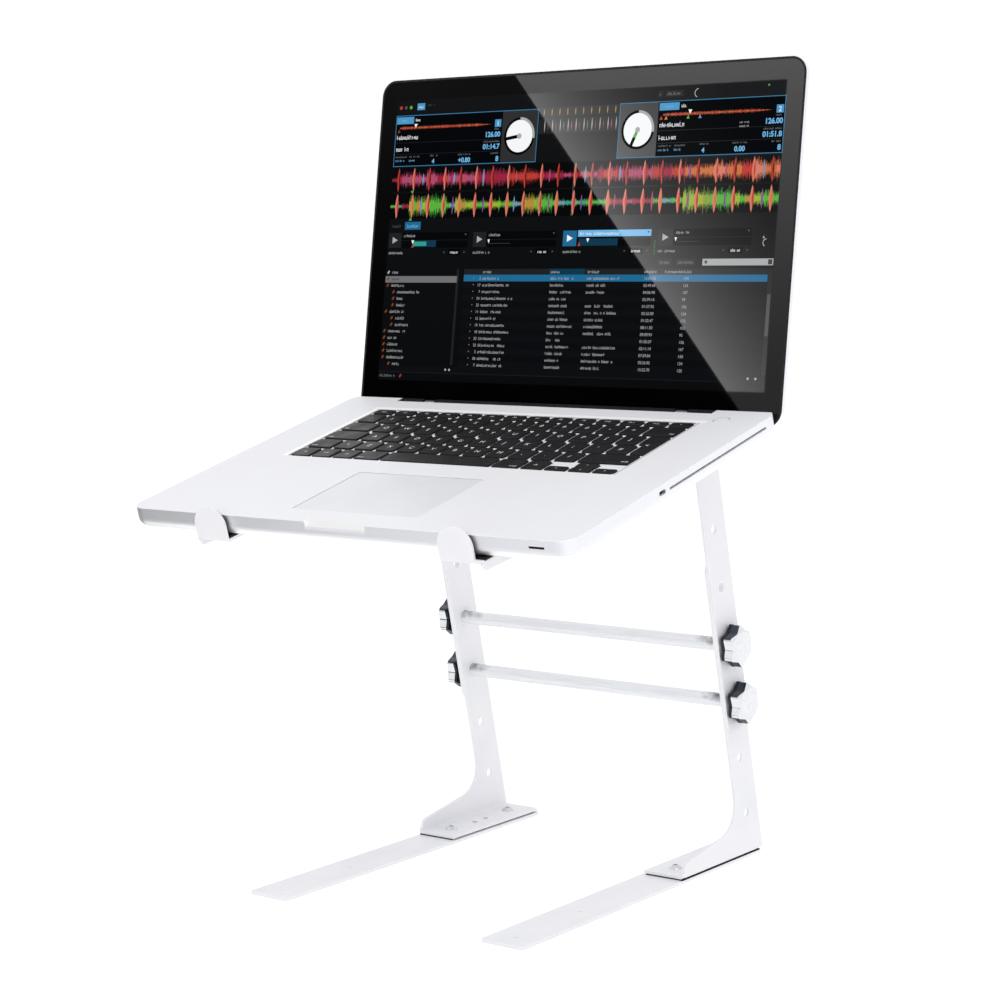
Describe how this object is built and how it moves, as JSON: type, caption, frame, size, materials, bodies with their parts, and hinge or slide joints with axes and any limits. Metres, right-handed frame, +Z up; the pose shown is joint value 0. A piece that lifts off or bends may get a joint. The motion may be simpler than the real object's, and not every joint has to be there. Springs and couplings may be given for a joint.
{
  "type": "dj laptop on an adjustable stand",
  "caption": "Notebook computer, lid open, resting on a white folded-steel stand with adjustable legs, crossbars, front hooks and star clamping knobs.",
  "frame": {"origin": "middle of the whole part's footprint, on the surface that the stand's rubber pads rest on", "axes": "+X to the user's right along the crossbars, +Y away from the user, +Z up"},
  "size_m": [0.3644, 0.3344, 0.561],
  "materials": {
    "powder_coat": "satin white powder coat",
    "rubber": "matte black rubber",
    "galvanised_rod": "zinc-plated drawn rod",
    "zinc_fastener": "zinc-plated",
    "knob_chrome": "polished chrome",
    "anodised": "bead-blasted and anodised",
    "screw_steel": "satin",
    "pad_glass": "frosted silver",
    "key_plastic": "fine matte black",
    "dark_plastic": "matte",
    "battery_black": "matte",
    "circuit_board": "solder-masked",
    "drive_steel": "stamped",
    "copper": "bare copper",
    "screen_glass": "polished, black-bordered"
  },
  "bodies": {
    "stand": {"left_foot_bar": "powder_coat", "right_foot_bar": "powder_coat", "foot_pads": "rubber", "flange_gaskets": "rubber", "left_lower_leg": "powder_coat", "right_lower_leg": "powder_coat", "flange_screws": "zinc_fastener", "left_support_arm": "powder_coat", "right_support_arm": "powder_coat", "left_arm_pad": "rubber", "right_arm_pad": "rubber", "upper_crossbar": "galvanised_rod", "lower_crossbar": "galvanised_rod"},
    "laptop_base": {"base_case": "anodised", "bottom_cover": "anodised", "cover_screws": "screw_steel", "laptop_feet": "rubber", "keyboard_tray": "dark_plastic", "battery": "battery_black", "logic_board": "circuit_board", "optical_drive": "drive_steel", "hard_drive": "drive_steel", "speakers": "dark_plastic", "cooling_pipes": "copper", "fan_housings": "dark_plastic", "rear_vent": "dark_plastic", "port_inserts": "dark_plastic", "hinge_brackets": "screw_steel"},
    "lid": {"lid_shell": "anodised", "cover_glass": "screen_glass", "lid_gasket": "rubber", "display_panel": "drive_steel", "camera_module": "dark_plastic", "clutch_cover": "dark_plastic", "hinge_pins": "screw_steel"},
    "trackpad": {"trackpad": "pad_glass"},
    "power_button": {"power_button": "anodised"},
    "function_keys": {"function_keys": "key_plastic"},
    "number_keys": {"number_keys": "key_plastic"},
    "upper_letter_keys": {"upper_letter_keys": "key_plastic"},
    "home_letter_keys": {"home_letter_keys": "key_plastic"},
    "lower_letter_keys": {"lower_letter_keys": "key_plastic"},
    "modifier_keys": {"modifier_keys": "key_plastic"},
    "space_bar": {"space_bar": "key_plastic"},
    "arrow_keys": {"arrow_keys": "key_plastic"},
    "return_key": {"return_key": "key_plastic"},
    "left_fan_rotor": {"left_fan_rotor": "dark_plastic"},
    "right_fan_rotor": {"right_fan_rotor": "dark_plastic"},
    "left_upper_washer": {"left_upper_washer": "zinc_fastener"},
    "left_upper_knob": {"left_upper_knob": "knob_chrome", "left_upper_stud": "zinc_fastener"},
    "left_lower_washer": {"left_lower_washer": "zinc_fastener"},
    "left_lower_knob": {"left_lower_knob": "knob_chrome", "left_lower_stud": "zinc_fastener"},
    "right_upper_washer": {"right_upper_washer": "zinc_fastener"},
    "right_upper_knob": {"right_upper_knob": "knob_chrome", "right_upper_stud": "zinc_fastener"},
    "right_lower_washer": {"right_lower_washer": "zinc_fastener"},
    "right_lower_knob": {"right_lower_knob": "knob_chrome", "right_lower_stud": "zinc_fastener"}
  },
  "joints": [
    {"name": "laptop_lift", "type": "slide", "parent": "stand", "child": "laptop_base", "axis": [0, -0.2436, 0.9699], "range_m": [0, 0.15]},
    {"name": "lid_hinge", "type": "hinge", "parent": "laptop_base", "child": "lid", "pos_m": [0, 0.07696, 0.3211], "axis": [1, 0, 0], "range_deg": [-17, 112.4]},
    {"name": "trackpad_turn", "type": "hinge", "parent": "laptop_base", "child": "trackpad", "pos_m": [0, -0.07179, 0.28832], "axis": [1, 0, 0], "range_deg": [0, 0.6], "stiffness_Nm_per_rad": 4.5, "springref_deg": -0.34},
    {"name": "power_button_press", "type": "slide", "parent": "laptop_base", "child": "power_button", "axis": [0, 0.2436, -0.9699], "range_m": [0, 0.0004], "stiffness_N_per_m": 1500, "springref_m": -0.0003},
    {"name": "function_keys_press", "type": "slide", "parent": "laptop_base", "child": "function_keys", "axis": [0, 0.2436, -0.9699], "range_m": [0, 0.0015], "stiffness_N_per_m": 5600, "springref_m": -0.0005},
    {"name": "number_keys_press", "type": "slide", "parent": "laptop_base", "child": "number_keys", "axis": [0, 0.2436, -0.9699], "range_m": [0, 0.0015], "stiffness_N_per_m": 5200, "springref_m": -0.0005},
    {"name": "upper_letter_keys_press", "type": "slide", "parent": "laptop_base", "child": "upper_letter_keys", "axis": [0, 0.2436, -0.9699], "range_m": [0, 0.0015], "stiffness_N_per_m": 4800, "springref_m": -0.0005},
    {"name": "home_letter_keys_press", "type": "slide", "parent": "laptop_base", "child": "home_letter_keys", "axis": [0, 0.2436, -0.9699], "range_m": [0, 0.0015], "stiffness_N_per_m": 4800, "springref_m": -0.0005},
    {"name": "lower_letter_keys_press", "type": "slide", "parent": "laptop_base", "child": "lower_letter_keys", "axis": [0, 0.2436, -0.9699], "range_m": [0, 0.0015], "stiffness_N_per_m": 4400, "springref_m": -0.0005},
    {"name": "modifier_keys_press", "type": "slide", "parent": "laptop_base", "child": "modifier_keys", "axis": [0, 0.2436, -0.9699], "range_m": [0, 0.0015], "stiffness_N_per_m": 4400, "springref_m": -0.0005},
    {"name": "space_bar_press", "type": "slide", "parent": "laptop_base", "child": "space_bar", "axis": [0, 0.2436, -0.9699], "range_m": [0, 0.0015], "stiffness_N_per_m": 400, "springref_m": -0.0005},
    {"name": "arrow_keys_press", "type": "slide", "parent": "laptop_base", "child": "arrow_keys", "axis": [0, 0.2436, -0.9699], "range_m": [0, 0.0015], "stiffness_N_per_m": 1600, "springref_m": -0.0005},
    {"name": "return_key_press", "type": "slide", "parent": "laptop_base", "child": "return_key", "axis": [0, 0.2436, -0.9699], "range_m": [0, 0.0015], "stiffness_N_per_m": 400, "springref_m": -0.0005},
    {"name": "left_fan_spin", "type": "hinge", "parent": "laptop_base", "child": "left_fan_rotor", "pos_m": [-0.12, 0.02678, 0.30436], "axis": [0, -0.2436, 0.9699], "continuous": true},
    {"name": "right_fan_spin", "type": "hinge", "parent": "laptop_base", "child": "right_fan_rotor", "pos_m": [0, 0.02678, 0.30436], "axis": [0, -0.2436, 0.9699], "continuous": true},
    {"name": "left_upper_knob_travel", "type": "slide", "parent": "stand", "child": "left_upper_washer", "axis": [-1, 0, 0], "range_m": [0, 0.0101]},
    {"name": "left_upper_knob_turn", "type": "hinge", "parent": "left_upper_washer", "child": "left_upper_knob", "pos_m": [-0.1183, 0.11921, 0.15906], "axis": [1, 0, 0], "range_deg": [0, 3600]},
    {"name": "left_lower_knob_travel", "type": "slide", "parent": "stand", "child": "left_lower_washer", "axis": [-1, 0, 0], "range_m": [0, 0.0101]},
    {"name": "left_lower_knob_turn", "type": "hinge", "parent": "left_lower_washer", "child": "left_lower_knob", "pos_m": [-0.1183, 0.12831, 0.11734], "axis": [1, 0, 0], "range_deg": [0, 3600]},
    {"name": "right_upper_knob_travel", "type": "slide", "parent": "stand", "child": "right_upper_washer", "axis": [1, 0, 0], "range_m": [0, 0.0101]},
    {"name": "right_upper_knob_turn", "type": "hinge", "parent": "right_upper_washer", "child": "right_upper_knob", "pos_m": [0.1183, 0.11921, 0.15906], "axis": [-1, 0, 0], "range_deg": [0, 3600]},
    {"name": "right_lower_knob_travel", "type": "slide", "parent": "stand", "child": "right_lower_washer", "axis": [1, 0, 0], "range_m": [0, 0.0101]},
    {"name": "right_lower_knob_turn", "type": "hinge", "parent": "right_lower_washer", "child": "right_lower_knob", "pos_m": [0.1183, 0.12831, 0.11734], "axis": [-1, 0, 0], "range_deg": [0, 3600]}
  ],
  "couplings": [
    {"joint": "left_upper_knob_travel", "follows": "left_upper_knob_turn", "m_per_rad": 0.00015915},
    {"joint": "left_lower_knob_travel", "follows": "left_lower_knob_turn", "m_per_rad": 0.00015915},
    {"joint": "right_upper_knob_travel", "follows": "right_upper_knob_turn", "m_per_rad": 0.00015915},
    {"joint": "right_lower_knob_travel", "follows": "right_lower_knob_turn", "m_per_rad": 0.00015915}
  ]
}
